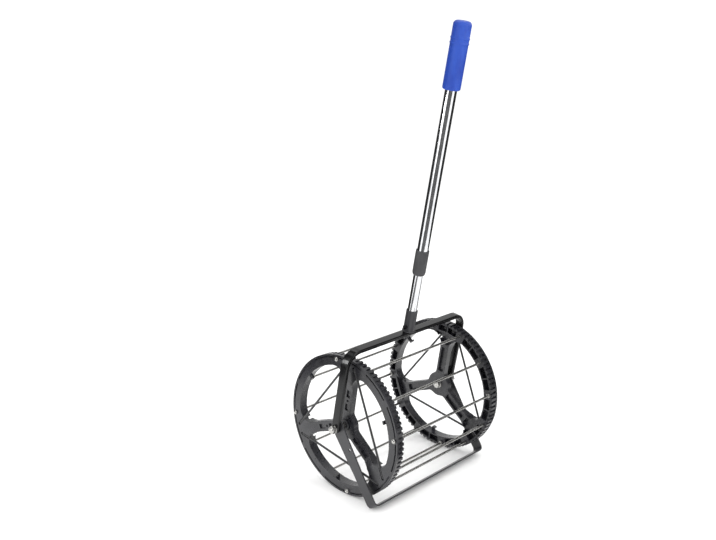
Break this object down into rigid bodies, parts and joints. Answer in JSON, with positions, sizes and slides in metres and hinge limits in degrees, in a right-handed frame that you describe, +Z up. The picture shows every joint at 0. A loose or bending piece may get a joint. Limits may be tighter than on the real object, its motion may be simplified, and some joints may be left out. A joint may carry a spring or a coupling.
{
  "type": "tennis ball roller collector",
  "caption": "Walk-behind drum that picks tennis balls up between steel rods, with toothed plastic wheels, a bent yoke, a swinging stand and a telescopic handle with a blue grip.",
  "frame": {"origin": "on the floor, under the middle of the object's own box; the axle runs 140 mm above it", "axes": "+X along the axle, from the left wheel to the right one; +Z up; the handle leans and the stand reaches towards -Y"},
  "size_m": [0.368, 0.2955, 0.8804],
  "materials": {
    "moulded_black_plastic": "fine moulded texture, slight sheen",
    "moulded_grey_plastic": "dark grey moulded plastic, matt",
    "black_powder_coat": "satin black powder coat on steel",
    "blackened_steel": "black oxide steel",
    "bright_steel": "bright zinc plated steel",
    "chromed_tube": "bright chrome plated steel tube",
    "black_elastic_cord": "braided black elastic cord",
    "grey_nylon": "dark grey nylon",
    "blue_vinyl": "moulded soft blue vinyl, satin"
  },
  "bodies": {
    "yoke": {"axle_bolt_right": "bright_steel", "axle_nut_right": "bright_steel", "axle_spacer_right": "bright_steel", "axle_washer_right": "bright_steel", "axle_bolt_left": "bright_steel", "axle_nut_left": "bright_steel", "axle_spacer_left": "bright_steel", "axle_washer_left": "bright_steel", "yoke_frame": "black_powder_coat", "handle_socket": "black_powder_coat", "socket_bolt": "blackened_steel", "socket_nut": "blackened_steel", "lower_tube": "chromed_tube", "lower_tube_plug": "moulded_black_plastic", "button_spring": "blackened_steel"},
    "drum": {"wheel_right": "moulded_black_plastic", "hub_bush_right": "grey_nylon", "wheel_left": "moulded_black_plastic", "hub_bush_left": "grey_nylon", "tie_rod_1": "bright_steel", "tie_rod_2": "bright_steel", "tie_rod_3": "bright_steel", "tie_rod_4": "bright_steel", "ball_rod_1": "bright_steel", "ball_rod_2": "bright_steel", "ball_rod_3": "bright_steel", "ball_rod_4": "bright_steel", "ball_rod_5": "bright_steel", "ball_rod_6": "bright_steel", "ball_rod_7": "bright_steel", "ball_rod_8": "bright_steel", "tie_cap_right_1": "bright_steel", "tie_nut_right_1": "bright_steel", "tie_cap_right_2": "bright_steel", "tie_nut_right_2": "bright_steel", "tie_cap_right_3": "bright_steel", "tie_nut_right_3": "bright_steel", "tie_cap_right_4": "bright_steel", "tie_nut_right_4": "bright_steel", "tie_cap_left_1": "bright_steel", "tie_nut_left_1": "bright_steel", "tie_cap_left_2": "bright_steel", "tie_nut_left_2": "bright_steel", "tie_cap_left_3": "bright_steel", "tie_nut_left_3": "bright_steel", "tie_cap_left_4": "bright_steel", "tie_nut_left_4": "bright_steel", "cord_right_1": "black_elastic_cord", "cord_right_2": "black_elastic_cord", "cord_right_3": "black_elastic_cord", "cord_left_1": "black_elastic_cord", "cord_left_2": "black_elastic_cord", "cord_left_3": "black_elastic_cord"},
    "stand": {"stand": "black_powder_coat"},
    "upper_handle": {"upper_tube": "chromed_tube", "tube_collar": "moulded_grey_plastic", "grip": "blue_vinyl"},
    "snap_button": {"snap_button": "bright_steel"}
  },
  "joints": [
    {"name": "drum_roll", "type": "hinge", "parent": "yoke", "child": "drum", "pos_m": [0, 0.00784, 0.14], "axis": [1, 0, 0], "continuous": true},
    {"name": "stand_swing", "type": "hinge", "parent": "yoke", "child": "stand", "pos_m": [0, 0.00784, 0.14], "axis": [-1, 0, 0], "range_deg": [-214, 125]},
    {"name": "handle_slide", "type": "slide", "parent": "yoke", "child": "upper_handle", "axis": [0, -0.1874, 0.9823], "range_m": [0, 0.24]},
    {"name": "button_press", "type": "slide", "parent": "yoke", "child": "snap_button", "axis": [0, 0.9823, 0.1874], "range_m": [-0.004, 0], "stiffness_N_per_m": 1000, "springref_m": 0.001, "deforming": ["button_spring"]}
  ]
}
